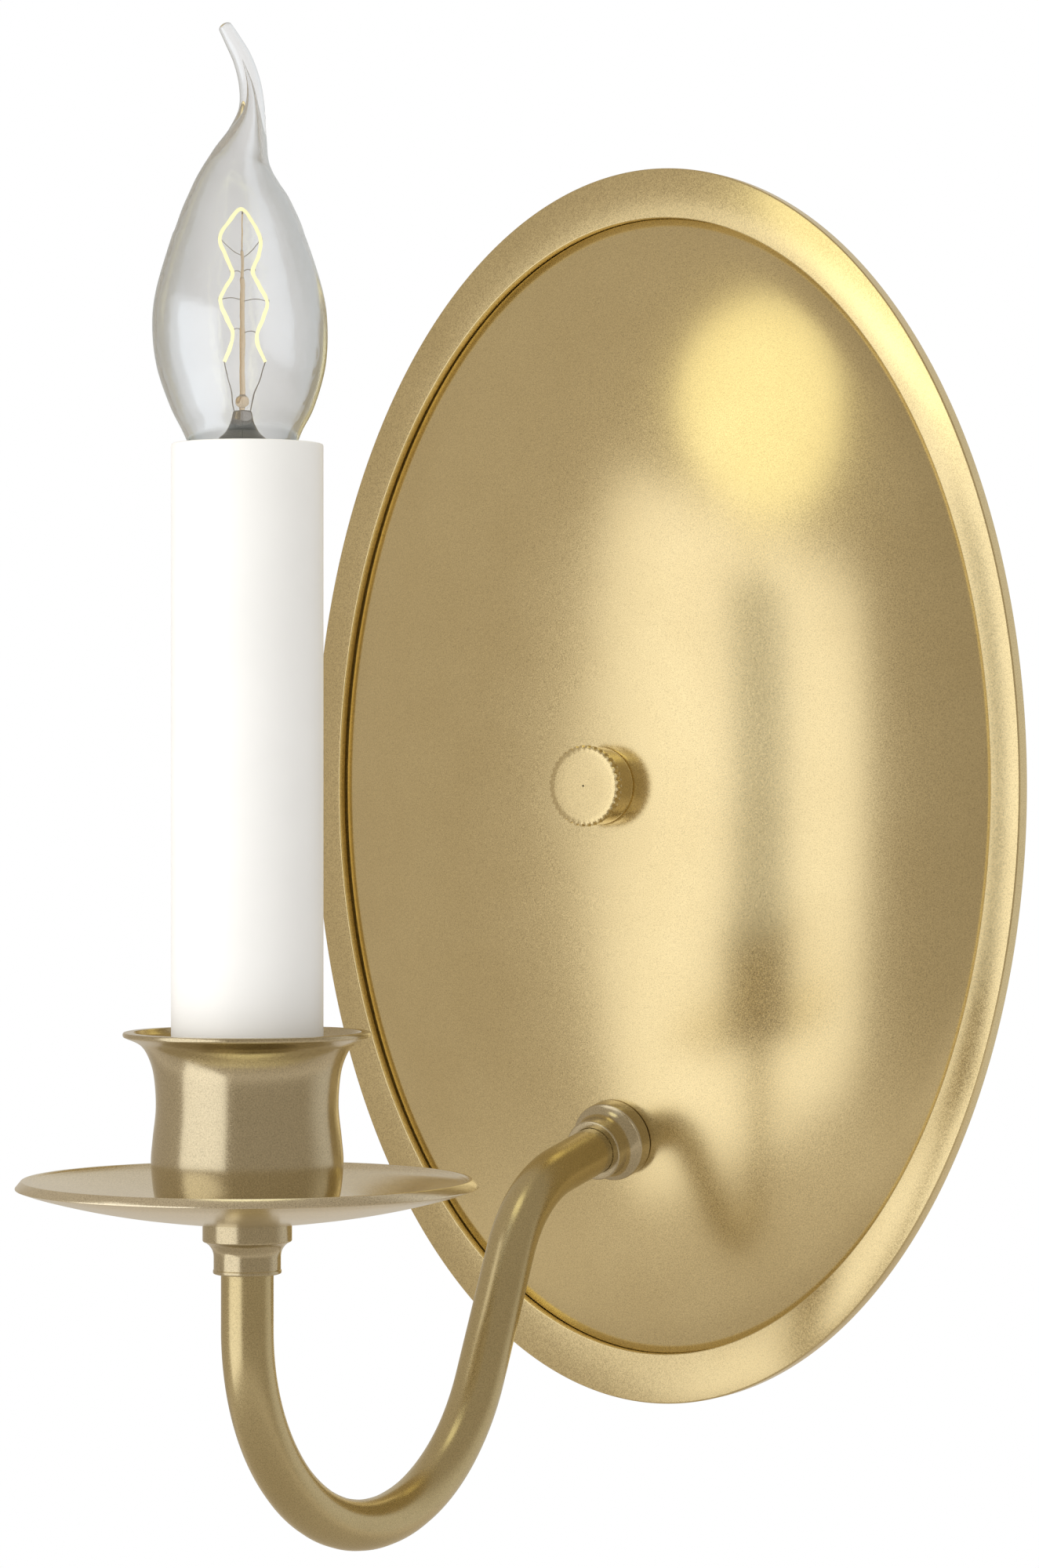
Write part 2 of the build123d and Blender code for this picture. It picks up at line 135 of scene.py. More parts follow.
def ramp(nodes, source, stops):
    """Colour ramp fed by source; stops are (position, colour)."""
    made = nodes.add("ShaderNodeValToRGB")
    elements = made.color_ramp.elements
    while len(elements) < len(stops):
        elements.new(0.5)
    for element, (position, colour) in zip(elements, stops):
        element.position = position
        element.color = (*colour, 1.0)
    nodes.link(source, 0, made, "Fac")
    return made


def span(nodes, source, low, high, output=0, start=0.3, end=0.7):
    """Maps an output of source from start..end to low..high."""
    made = nodes.add("ShaderNodeMapRange")
    made.inputs["From Min"].default_value = start
    made.inputs["From Max"].default_value = end
    made.inputs["To Min"].default_value = low
    made.inputs["To Max"].default_value = high
    nodes.link(source, output, made, "Value")
    return made


def bumped(nodes, shader, source, strength, distance):
    bump = nodes.add("ShaderNodeBump", Strength=strength, Distance=distance)
    nodes.link(source, 0, bump, "Height")
    nodes.link(bump, "Normal", shader, "Normal")


def scaled(colour, factor):
    return tuple(min(1.0, c * factor) for c in colour)


def metal(name, colour, rough, grain=4400.0, flake=0.10, bump=0.045, spread=0.07):
    """Metal with fine bright flakes, cloudy polish and a light grain."""
    material, nodes = new_material(name)
    shader = nodes.add("ShaderNodeBsdfPrincipled", Metallic=1.0)
    fine = noise(nodes, grain, 3.0)
    cloud = noise(nodes, 45.0, 4.0)
    colours = ramp(nodes, fine, [
        (0.30, scaled(colour, 1 - flake * 2.2)),
        (0.50, colour),
        (0.72, scaled(colour, 1 + flake * 1.6)),
    ])
    tint = nodes.add("ShaderNodeMix", data_type="RGBA", blend_type="MULTIPLY")
    tint.inputs["Factor"].default_value = 0.5
    stain = ramp(nodes, cloud, [(0.35, (0.90, 0.88, 0.84)), (0.65, (1.0, 1.0, 1.0))])
    nodes.link(colours, "Color", tint, MIX_FIRST)
    nodes.link(stain, "Color", tint, MIX_SECOND)
    nodes.link(tint, MIX_RESULT, shader, "Base Color")
    polish = span(nodes, fine, rough - spread, rough + spread)
    nodes.link(polish, "Result", shader, "Roughness")
    bumped(nodes, shader, fine, bump, 0.00006)
    finish_material(nodes, shader)
    return material


def dull(name, colour, rough, scale, variation=0.12, bump=0.15):
    """Moulded, painted or dyed surface with mottling and a fine texture."""
    material, nodes = new_material(name)
    shader = nodes.add("ShaderNodeBsdfPrincipled")
    fine = noise(nodes, scale, 4.0)
    cloud = noise(nodes, 70.0, 3.0)
    colours = ramp(nodes, cloud, [
        (0.3, scaled(colour, 1 - variation)),
        (0.7, scaled(colour, 1 + variation / 2)),
    ])
    nodes.link(colours, "Color", shader, "Base Color")
    polish = span(nodes, fine, max(0.05, rough - 0.08), rough + 0.08)
    nodes.link(polish, "Result", shader, "Roughness")
    bumped(nodes, shader, fine, bump, 0.00008)
    finish_material(nodes, shader)
    return material


def finish_material(nodes, shader):
    output = nodes.add("ShaderNodeOutputMaterial")
    nodes.link(shader, "BSDF", output, "Surface")
    return output


def clear_glass(name, colour, rough, wave, mirror=0.0):
    """Blown glass with slow waves in its surface; mirror adds reflection towards its edges."""
    material, nodes = new_material(name)
    shader = nodes.add("ShaderNodeBsdfPrincipled", IOR=1.6)
    shader.inputs["Transmission Weight"].default_value = 1.0
    slow = noise(nodes, 150.0, 2.0)
    tint = ramp(nodes, slow, [(0.3, scaled(colour, 0.98)), (0.7, colour)])
    nodes.link(tint, "Color", shader, "Base Color")
    polish = span(nodes, slow, rough, rough + 0.02)
    nodes.link(polish, "Result", shader, "Roughness")
    bumped(nodes, shader, slow, wave, 0.0006)
    output = finish_material(nodes, shader)
    if mirror:
        sheen = nodes.add("ShaderNodeBsdfGlossy", Color=(0.74, 0.86, 1.0, 1), Roughness=0.24)
        turned = nodes.add("ShaderNodeLayerWeight", Blend=0.5)
        share = span(nodes, turned, 0.08, mirror, "Facing", 0.0, 1.0)
        both = nodes.add("ShaderNodeMixShader")
        nodes.link(share, "Result", both, 0)
        nodes.link(shader, "BSDF", both, 1)
        nodes.link(sheen, "BSDF", both, 2)
        nodes.link(both, "Shader", output, "Surface")
    return material


def glowing(name, colour, strength):
    """Hot filament: brighter and cooler stretches along it."""
    material, nodes = new_material(name)
    shader = nodes.add("ShaderNodeBsdfPrincipled", Roughness=0.6)
    along = noise(nodes, 420.0, 2.0)
    heat = ramp(nodes, along, [(0.3, scaled(colour, 0.94)), (0.7, colour)])
    shader.inputs["Base Color"].default_value = (0.2, 0.15, 0.05, 1)
    nodes.link(heat, "Color", shader, "Emission Color")
    shader.inputs["Emission Strength"].default_value = strength
    finish_material(nodes, shader)
    return material


# satin brass, one finish on the real lamp, in lit and shaded copies: each kind of piece gets its own
# base colour as painted light and shade, the dish painted palest, the plate bright, the tube and turned
# pieces painted darker
BRASS_PLATE = metal("brass_plate", (0.82, 0.705, 0.42), 0.21, spread=0.04)
BRASS_TUBE_PAINTED_DARK = metal("brass_tube_painted_dark", (0.64, 0.55, 0.325), 0.26, spread=0.04)
BRASS_TURNED_PAINTED_DARK = metal("brass_turned_painted_dark", (0.63, 0.565, 0.405), 0.20, spread=0.04)
BRASS_DISH_PAINTED_PALE = metal("brass_dish_painted_pale", (0.84, 0.78, 0.62), 0.22, spread=0.04)
ZINC = metal("zinc_plate", (0.60, 0.61, 0.62), 0.34, grain=900.0, flake=0.08, bump=0.12)
NICKEL = metal("nickel_shell", (0.72, 0.70, 0.65), 0.22, grain=1500.0, flake=0.05)
CONTACT = metal("contact_brass", (0.76, 0.58, 0.28), 0.30, grain=1400.0, flake=0.06)
WIRE = metal("support_wire", (0.32, 0.30, 0.28), 0.35, grain=1800.0, flake=0.08)
GREEN = metal("ground_green", (0.10, 0.42, 0.18), 0.30, grain=1100.0, flake=0.08)
FIBRE = dull("fibre_black", (0.035, 0.033, 0.032), 0.75, scale=1600.0, bump=0.4)
SOCKET = dull("socket_plastic", (0.055, 0.048, 0.042), 0.42, scale=1200.0, bump=0.2)
INSULATOR = dull("cap_glass_black", (0.015, 0.015, 0.018), 0.12, scale=500.0, bump=0.05)
LEAD_BLACK = dull("lead_black", (0.025, 0.025, 0.026), 0.5, scale=700.0)
LEAD_WHITE = dull("lead_white", (0.80, 0.78, 0.72), 0.5, scale=700.0)
SLEEVE = dull("sleeve_cream", (0.94, 0.925, 0.89), 0.42, scale=1500.0, variation=0.02, bump=0.08)
GLASS = clear_glass("clear_glass", (0.98, 0.98, 0.985), 0.0, 0.25, mirror=0.66)
ROD_GLASS = clear_glass("support_glass", (0.86, 0.70, 0.50), 0.05, 0.05)
SMOKED = clear_glass("smoked_stem", (0.42, 0.40, 0.38), 0.04, 0.1)
FILAMENT = glowing("filament", (1.0, 0.95, 0.52), 1.4)
FLOOR = dull("floor_pale", (0.86, 0.86, 0.85), 0.7, scale=40.0, variation=0.01, bump=0.0)
FLOOR_SHADER = FLOOR.node_tree.nodes["Principled BSDF"]
FLOOR_SHADER.inputs["Emission Color"].default_value = (1, 1, 0.98, 1)
FLOOR_SHADER.inputs["Emission Strength"].default_value = 0.12


# mesh helpers

EDISON_PITCH = 2.54
SHELL_WALL = 0.3


def fillet(points, closed=False):
    """Outline of (a, b, height, radius) corners as a dense list of (a, b, height)."""
    made = []
    count = len(points)
    for i, (a, b, h, radius) in enumerate(points):
        ends = not closed and i in (0, count - 1)
        if ends or radius <= 0:
            made.append((a, b, h))
            continue
        before, after = points[i - 1], points[(i + 1) % count]
        into = Vector((before[0] - a, before[2] - h))
        out = Vector((after[0] - a, after[2] - h))
        reach = min(radius, into.length * 0.49, out.length * 0.49)
        start, end = into.normalized() * reach, out.normalized() * reach
        for step in range(5):
            t = step / 4
            x = start.x * (1 - t) ** 2 + end.x * t**2
            y = start.y * (1 - t) ** 2 + end.y * t**2
            made.append((a + x, b + x, h + y))
    return made


def round_outline(points, closed=False):
    """Fillets an outline of (radius, height) or (radius, height, fillet)."""
    rows = [(p[0], p[0], p[1], p[2] if len(p) > 2 else 0.0) for p in points]
    return fillet(rows, closed)


def curve_through(points, steps=6):
    """Smooth curve through (radius, height) points."""
    made = []
    for i in range(len(points) - 1):
        p0 = Vector(points[max(i - 1, 0)])
        p1, p2 = Vector(points[i]), Vector(points[i + 1])
        p3 = Vector(points[min(i + 2, len(points) - 1)])
        for step in range(steps):
            t = step / steps
            a = 2 * p1 + (p2 - p0) * t
            b = (2 * p0 - 5 * p1 + 4 * p2 - p3) * t**2
            c = (3 * p1 - p0 - 3 * p2 + p3) * t**3
            point = (a + b + c) / 2
            made.append((point.x, point.y))
    made.append(tuple(points[-1]))
    return made


def mesh_object(name, verts, faces, material, body, matrix=None, sharp=35.0):
    """Smooth mesh that rides on a body; verts are in millimetres in matrix's frame."""
    mesh = bpy.data.meshes.new(name)
    mesh.from_pydata([tuple(c * MM for c in v) for v in verts], [], faces)
    if matrix is not None:
        mesh.transform(matrix)
    shape = bmesh.new()
    shape.from_mesh(mesh)
    bmesh.ops.recalc_face_normals(shape, faces=shape.faces)
    shape.to_mesh(mesh)
    shape.free()
    mesh.update()
    for polygon in mesh.polygons:
        polygon.use_smooth = True
    mesh.set_sharp_from_angle(angle=math.radians(sharp))
    mesh.materials.append(material)
    piece = bpy.data.objects.new(name, mesh)
    bpy.context.scene.collection.objects.link(piece)
    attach(piece, body)
    return piece


def ring_faces(rows, count, closed):
    faces = []
    for i in range(rows if closed else rows - 1):
        j = (i + 1) % rows
        for k in range(count):
            m = (k + 1) % count
            faces.append((i * count + k, i * count + m, j * count + m, j * count + k))
    return faces


def end_caps(rows, count):
    last = (rows - 1) * count
    return [tuple(range(count))[::-1], tuple(range(last, last + count))]


def circle(radius, height, count):
    turns = (2 * math.pi * k / count for k in range(count))
    return [(radius * math.cos(t), radius * math.sin(t), height) for t in turns]


def lathe(name, outline, material, body, matrix, count):
    """Closed turned or oval piece from an outline of (a, b, height), going round +Z."""
    verts = []
    for a, b, h in outline:
        for k in range(count):
            t = 2 * math.pi * k / count
            verts.append((a * math.cos(t), b * math.sin(t), h))
    faces = ring_faces(len(outline), count, True)
    return mesh_object(name, verts, faces, material, body, matrix)


def swept(name, path, section, side, material, body, matrix=None):
    """Piece of section(share, angle) -> (across, up) along path; side is a steady normal."""
    verts = []
    count = 24
    for i, point in enumerate(path):
        before, after = path[max(i - 1, 0)], path[min(i + 1, len(path) - 1)]
        along = (after - before).normalized()
        across = (side - along * side.dot(along)).normalized()
        up = along.cross(across)
        for k in range(count):
            x, y = section(i / (len(path) - 1), 2 * math.pi * k / count)
            verts.append(tuple(point + across * x + up * y))
    faces = ring_faces(len(path), count, False) + end_caps(len(path), count)
    return mesh_object(name, verts, faces, material, body, matrix)


def round_section(radius):
    return lambda share, angle: (radius * math.cos(angle), radius * math.sin(angle))


def thread_rows(radius, depth, pitch, low, high, count, inner=0.0):
    """Rings of a helical thread; inner is how far inside the radius it lies."""
    steps = max(2, round((high - low) / pitch * 8))
    rows = []
    for i in range(steps + 1):
        z = low + (high - low) * i / steps
        fade = min(1.0, i / 8, (steps - i) / 8)
        row = []
        for k in range(count):
            turn = k / count
            phase = (z / pitch - turn) % 1.0
            wave = 0.5 - 0.5 * math.cos(2 * math.pi * phase)
            r = radius - inner - depth * wave * fade
            row.append((r * math.cos(2 * math.pi * turn), r * math.sin(2 * math.pi * turn), z))
        rows.append(row)
    return rows


def threaded_bar(name, radius, depth, pitch, low, high, bore, body, matrix):
    """Threaded zinc bar or nipple: thread outside, plain bore inside or solid."""
    count = 48
    rows = thread_rows(radius, depth, pitch, low, high, count)
    ends = [radius - depth - 0.3, max(bore, 0.05)]
    first = [circle(r, low, count) for r in reversed(ends)]
    rows = first + rows + [circle(r, high, count) for r in ends]
    verts = [v for row in rows for v in row]
    faces = ring_faces(len(rows), count, True)
    return mesh_object(name, verts, faces, ZINC, body, matrix)


def threaded_shell(name, radius, depth, low, high, body, before, after):
    """Rolled nickel shell whose thread shows on both faces.

    before and after are more rings, as (radius, height), below and above the thread.
    """
    count = 96
    outer = thread_rows(radius, depth, EDISON_PITCH, low, high, count)
    inner = thread_rows(radius, depth, EDISON_PITCH, low, high, count, inner=SHELL_WALL)
    rows = [circle(r - SHELL_WALL, z, count) for r, z in before]
    rows += inner
    rows += [circle(r - SHELL_WALL, z, count) for r, z in after]
    rows += [circle(r, z, count) for r, z in reversed(after)]
    rows += outer[::-1]
    rows += [circle(r, z, count) for r, z in reversed(before)]
    verts = [v for row in rows for v in row]
    faces = ring_faces(len(rows), count, True)
    return mesh_object(name, verts, faces, NICKEL, body, CANDLE)


# camera


CAMERA_AT = (0.4861, -0.8146, -0.0008)
CAMERA_TURN = 32.56


def add_camera():
    """Stands 0.95 m away, level, to the right of the plate's normal."""
    data = bpy.data.cameras.new("camera")
    data.sensor_width = 36.0
    data.lens = 105.5
    data.shift_y = 0.00375
    camera = bpy.data.objects.new("camera", data)
    camera.location = CAMERA_AT
    camera.rotation_euler = (math.radians(90), 0, math.radians(CAMERA_TURN))
    bpy.context.scene.collection.objects.link(camera)
    bpy.context.scene.camera = camera


# backplate


DOME_WIDE = 77.3
DOME_TALL = 116.6
DOME_TOP = 22.8
DOME_EDGE = 1.3
DOME_LAND = 9.0
DOME_SHEET = 1.2
DOME_POWER = 2.4
LANDED = DOME_LAND + 0.02
HOLE_WIDE, HOLE_TALL = 77.8, 116.8
RIM_COUNT, DOME_COUNT = 384, 256


def dome_height(radius):
    """Height of the dome's front over the wall, along its long axis."""
    if radius <= DOME_LAND:
        return DOME_TOP
    share = (radius - DOME_LAND) / (DOME_TALL - DOME_LAND)
    return DOME_EDGE + (DOME_TOP - DOME_EDGE) * (1 - share**DOME_POWER)


def sheet_slope(radius):
    return (dome_height(radius + 0.01) - dome_height(radius - 0.01)) / 0.02


def crown_slope(radius):
    """Slope of the polished crown, which is flatter than the sheet under it until near the edge."""
    polished = -13.0 * 2.8 / DOME_TALL * (radius / DOME_TALL) ** 1.8
    sheet = sheet_slope(radius)
    share = min(1.0, max(0.0, (radius / DOME_TALL - 0.93) / 0.07))
    return polished + (sheet - polished) * share**2


def dome_ring(radius, depth):
    """One ring of the dome, depth under its front."""
    slope = sheet_slope(radius)
    length = math.hypot(1, slope)
    reach = radius + slope * depth / length
    return (reach * DOME_WIDE / DOME_TALL, reach, dome_height(radius) - depth / length)


def build_rim():
    half_x, half_z = size("backplate_rim").x / 2, size("backplate_rim").z / 2
    step_x = half_x - HOLE_WIDE
    step_z = half_z - HOLE_TALL

    def corner(share, height, radius):
        return (half_x - step_x * share, half_z - step_z * share, height, radius)

    outline = fillet([
        corner(0, 0.0, 0.2),
        corner(0, 3.3, 0.35),
        corner(1, 3.3, 0.25),
        corner(1, 1.35, 0.1),
        corner(0.42, 1.35, 0.0),
        corner(0.42, 0.0, 0.1),
    ], closed=True)
    rim = lathe("rim_ring", outline, BRASS_PLATE, "fixture", WALL, RIM_COUNT)
    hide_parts("backplate_rim")


def build_dome():
    """Pressed sheet with a flat land round the stud's hole and a lip under the rim."""
    steps = 56
    reach = DOME_TALL - DOME_LAND
    radii = [DOME_TALL - reach * (i / steps) ** 1.15 for i in range(steps + 1)]
    front = [dome_ring(max(r, LANDED), 0) for r in radii]
    back = [dome_ring(max(r, LANDED), DOME_SHEET) for r in reversed(radii)]
    hole = size("center_stud").x / 2 + 0.08
    edge = DOME_TALL + 3.8
    lip_x = DOME_WIDE + 2.3
    rows = [(lip_x, edge, 0.1), (lip_x, edge, 1.28)] + front
    rows += [(hole + 0.1, hole + 0.1, DOME_TOP), (hole, hole, DOME_TOP - 0.1)]
    rows += [(hole, hole, DOME_TOP - DOME_SHEET)]
    rows += back + [(76.2, 115.2, 0.1)]
    dome = lathe("dome_sheet", rows, BRASS_PLATE, "fixture", WALL, DOME_COUNT)
    polish_crown(dome, 2 * DOME_COUNT, len(front) * DOME_COUNT)
    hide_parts("backplate_dome")


def polish_crown(dome, first, count):
    """Gives the front of the dome the even normals of a buffed crown."""
    mesh = dome.data
    normals = [Vector(v.vector) for v in mesh.vertex_normals]
    narrow = DOME_TALL / DOME_WIDE
    for index in range(first, first + count):
        place = mesh.vertices[index].co / MM
        radius = math.hypot(place.x * narrow, place.z)
        slope = crown_slope(radius)
        lean = Vector((-slope * place.x * narrow**2 / radius, -1.0, -slope * place.z / radius))
        normals[index] = lean.normalized()
    mesh.normals_split_custom_set_from_vertices([tuple(n) for n in normals])


def build_nut():
    """Knurled head on a smooth neck, hollow from the back."""
    teeth, fine = 36, 12
    count = teeth * fine
    seat = 22.81
    bore = size("center_stud").x / 2 + 0.05
    rows = [
        (bore, 28.0, 0.0), (0.2, 28.0, 0.0), (0.2, 29.72, 0.0), (2.0, 29.715, 0.0), (4.5, 29.69, 0.0),
        (6.6, 29.64, 0.0), (7.35, 29.58, 0.0), (7.62, 29.5, 0.35), (7.72, 29.36, 0.9), (7.74, 29.2, 1.0),
        (7.74, 28.3, 1.0), (7.72, 28.12, 0.9), (7.66, 28.0, 0.4), (7.6, 27.92, 0.0), (7.4, 27.86, 0.0),
        (7.5, 27.7, 0.0), (7.85, 27.55, 0.0), (7.85, 27.2, 0.0), (7.85, 24.2, 0.0), (7.85, 23.5, 0.0),
        (7.75, 23.15, 0.0), (7.5, 22.92, 0.0), (7.15, 22.83, 0.0), (6.9, seat, 0.0), (5.62, seat, 0.0),
        (5.6, seat + 0.05, 0.0), (5.6, seat + 1.0, 0.0), (bore, seat + 1.0, 0.0),
    ]
    verts = []
    for radius, height, amount in rows:
        for k in range(count):
            share = (k % fine) / fine
            wave = min(1.0, max(0.0, 1.6 - abs(share - 0.5) * 3.6))
            r = radius + amount * 0.44 * wave
            t = 2 * math.pi * k / count
            verts.append((r * math.cos(t), r * math.sin(t), min(height, 29.6)))
    faces = ring_faces(len(rows), count, True)
    nut = mesh_object(
        "knurled_nut", verts, faces, BRASS_PLATE, "knurled_nut", WALL, sharp=28.0)
    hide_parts("thumb_nut")


# arm


TUBE_RADIUS = 4.76
NIPPLE_BORE = 4.85
TUBE_BORE = 4.77
TUBE_SEAT = 5.85
DROP_END = -97.95
BIG_RADIUS, BIG_TURN = 40.2, 155.2
LIMB_LENGTH = 26.0
SMALL_RADIUS = 26.5
SEAT_TURN = 103.0


def collar_outline():
    """Collar with a bore for the nipple below and one for the tube above."""
    return round_outline([
        (NIPPLE_BORE, 0.0),
        (8.05, 0.0, 0.15),
        (8.05, 3.3, 0.28),
        (7.55, 3.48, 0.12),
        (6.95, 3.9, 0.5),
        (6.3, 4.75, 0.9),
        (6.05, 5.7, 0.7),
        (6.05, 8.35, 0.1),
        (6.17, 8.5, 0.1),
        (6.17, 8.98, 0.12),
        (5.98, 9.15, 0.12),
        (TUBE_BORE, 9.15, 0.1),
        (TUBE_BORE, TUBE_SEAT),
        (NIPPLE_BORE, TUBE_SEAT),
    ], closed=True)


def arm_path():
    """Centreline as a drop, one long bend, a leaning limb and a bend into the wall collar."""
    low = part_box("arm_tube")
    start = Vector((CANDLE_Y, low[1].z / MM))
    points = [start, Vector((CANDLE_Y, -92.0)), Vector((CANDLE_Y, DROP_END))]
    middle = Vector((CANDLE_Y + BIG_RADIUS, DROP_END))
    for i in range(1, 97):
        t = math.radians(BIG_TURN) * i / 96
        points.append(middle + Vector((-math.cos(t), -math.sin(t))) * BIG_RADIUS)
    t = math.radians(BIG_TURN)
    heading = Vector((math.sin(t), -math.cos(t)))
    limb = points[-1]
    for i in range(1, 9):
        points.append(limb + heading * LIMB_LENGTH * i / 8)
    right = Vector((heading.y, -heading.x))
    hub = points[-1] + right * SMALL_RADIUS
    begin = -right
    turn = BIG_TURN - SEAT_TURN
    for i in range(1, 41):
        a = -math.radians(turn) * i / 40
        spoke = Vector((
            begin.x * math.cos(a) - begin.y * math.sin(a),
            begin.x * math.sin(a) + begin.y * math.cos(a),
        ))
        points.append(hub + spoke * SMALL_RADIUS)
    end = (SEAT_AT + SEAT_OUT * TUBE_SEAT * MM) / MM
    last = points[-1]
    for i in range(1, 7):
        points.append(last.lerp(Vector((end.y, end.z)), i / 6))
    return [Vector((0, p.x, p.y)) for p in points]


def build_arm():
    """Tube, its collars at the dome and under the dish, and the nipple behind the dome."""
    section, side = round_section(TUBE_RADIUS), Vector((1, 0, 0))
    tube = swept("arm_tube_bent", arm_path(), section, side, BRASS_TUBE_PAINTED_DARK, "fixture")
    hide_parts("arm_tube")
    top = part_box("arm_neck")[1].z
    upside = CANDLE @ Matrix.Translation((0, 0, top)) @ Matrix.Rotation(math.pi, 4, "X")
    for name, node, place in (
        ("wall_collar", "arm_flange", SEAT),
        ("neck_collar", "arm_neck", upside),
    ):
        collar = lathe(
            name, collar_outline(), BRASS_TURNED_PAINTED_DARK, "fixture", place, count=120)
        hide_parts(node)
    nipple = threaded_bar(
        "arm_nipple_thread", 4.84, 0.28, 0.94, -8.5, 5.8, 3.4, "fixture", SEAT)
    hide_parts("arm_nipple")


# dish and cup


def build_dish():
    under = curve_through([
        (9.0, -78.65), (13.5, -78.2), (21.8, -77.05), (28.4, -75.85),
        (33.5, -74.7), (38.3, -73.45), (41.45, -72.4),
    ])
    over = curve_through([
        (39.75, -71.1), (37.8, -72.05), (33.2, -73.35),
        (28.2, -74.45), (21.6, -75.65), (14.5, -77.2),
    ])
    rim = [
        (41.58, -72.32), (41.6, -72.2), (41.55, -72.08), (40.55, -70.88),
        (40.4, -70.8), (40.15, -70.8), (40.0, -70.86),
    ]
    points = [(4.95, -78.65)] + under + rim + over + [(4.95, -77.2)]
    outline = round_outline(points)
    dish = lathe("drip_dish", outline, BRASS_DISH_PAINTED_PALE, "fixture", CANDLE, count=256)
    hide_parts("bobeche")


def build_cup():
    outside = curve_through([
        (21.85, -45.35), (19.24, -46.6), (17.76, -48.8), (16.78, -52.2), (16.42, -57.8), (16.99, -63.5),
        (17.3, -68.0), (16.7, -73.8), (15.5, -76.2), (13.6, -77.2),
    ])
    inside = curve_through([
        (13.9, -76.0), (15.1, -75.0), (15.9, -72.8), (16.4, -68.0), (16.05, -63.5), (15.5, -57.8),
        (15.9, -52.2), (16.75, -49.2), (18.3, -46.7), (20.0, -45.2),
    ])
    lip = [
        (20.35, -44.55), (20.55, -44.33), (20.8, -44.3), (21.9, -44.3),
        (22.2, -44.38), (22.35, -44.6), (22.35, -44.95), (22.2, -45.2),
    ]
    points = outside + [(4.95, -77.2), (4.95, -76.0)] + inside + lip
    outline = round_outline(points)
    cup = lathe(
        "candle_cup_turned", outline, BRASS_TURNED_PAINTED_DARK, "fixture", CANDLE, count=256)
    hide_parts("candle_cup")


def build_sleeve():
    low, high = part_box("candle_sleeve")
    bottom, top = low.z / MM + 0.02, high.z / MM
    radius = size("candle_sleeve").x / 2
    bore = 12.9
    outline = round_outline([
        (bore, bottom, 0.1),
        (radius, bottom, 0.15),
        (radius, top, 0.45),
        (bore, top, 0.3),
    ], closed=True)
    sleeve = lathe("candle_tube", outline, SLEEVE, "sleeve", CANDLE, count=160)
    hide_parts("candle_sleeve")


# bulb

# height, radius and sideways lean of the glass
GLASS_ROWS = [
    (45.0, 5.5, 0.0), (48.0, 5.5, 0.0), (50.2, 5.5, 0.0), (53.5, 6.7, 0.3), (58.0, 8.5, 0.7),
    (63.4, 10.6, 0.9), (68.0, 12.9, 0.9), (75.0, 15.1, 1.1), (82.0, 15.75, 1.3), (88.5, 15.1, 1.4),
    (97.0, 12.6, 1.5), (104.0, 9.95, 1.7), (108.5, 7.65, 1.7), (112.4, 5.5, 1.2), (116.9, 3.6, 0.0),
    (121.4, 2.4, -0.8), (126.0, 2.0, -0.5), (130.5, 1.75, 0.8), (134.0, 1.5, 2.6), (136.4, 1.25, 3.95),
]
GLASS_WALL = 0.7
STRAIGHT_BELOW = 100
CLOSING_FROM, CLOSING_LENGTH = 112.0, 19.0


def glass_rings(wall, rows, count):
    """Rings of the glass across its bent centreline; those inside it close to a point."""
    heights = curve_through([(r[1], r[0]) for r in rows], 7)
    leans = curve_through([(r[2], r[0]) for r in rows], 7)
    centres = [Vector((0, 0, z)) + BULB_SIDE * lean for (lean, _), (_, z) in zip(leans, heights)]
    rings = []
    for i, ((radius, _), middle) in enumerate(zip(heights, centres)):
        before, after = centres[max(i - 1, 0)], centres[min(i + 1, len(centres) - 1)]
        along = (after - before).normalized()
        if middle.z < STRAIGHT_BELOW:
            along = Vector((0, 0, 1))
        side = BULB_FACE.cross(along).normalized()
        closing = max(0.0, (middle.z - CLOSING_FROM) / CLOSING_LENGTH) if wall else 0.0
        r = (radius - wall) * (1 - closing)
        turns = (2 * math.pi * k / count for k in range(count))
        rings.append([
            middle + (side * math.cos(t) + BULB_FACE * math.sin(t)) * r for t in turns
        ])
    return rings, centres


def build_glass():
    """Blown glass, closed by a round tip and at its neck inside the cap."""
    count = 96
    outer, centres = glass_rings(0.0, GLASS_ROWS, count)
    tip = (centres[-1] - centres[-3]).normalized()
    last = outer[-1]
    middle = centres[-1]
    for share in (0.35, 0.62, 0.82, 0.94, 0.995):
        shrink = math.sqrt(1 - share**2)
        outer.append([middle + (v - middle) * shrink + tip * 0.7 * share for v in last])
    inner, _ = glass_rings(GLASS_WALL, GLASS_ROWS[:-2], count)
    rows = outer[::-1] + inner
    verts = [tuple(v) for row in rows for v in row]
    faces = ring_faces(len(rows), count, False) + end_caps(len(rows), count)
    bulb = mesh_object(
        "bulb_glass_blown", verts, faces, GLASS, "bulb", CANDLE, sharp=60.0)
    bulb.visible_shadow = False
    bulb.visible_glossy = False
    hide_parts("bulb_glass")


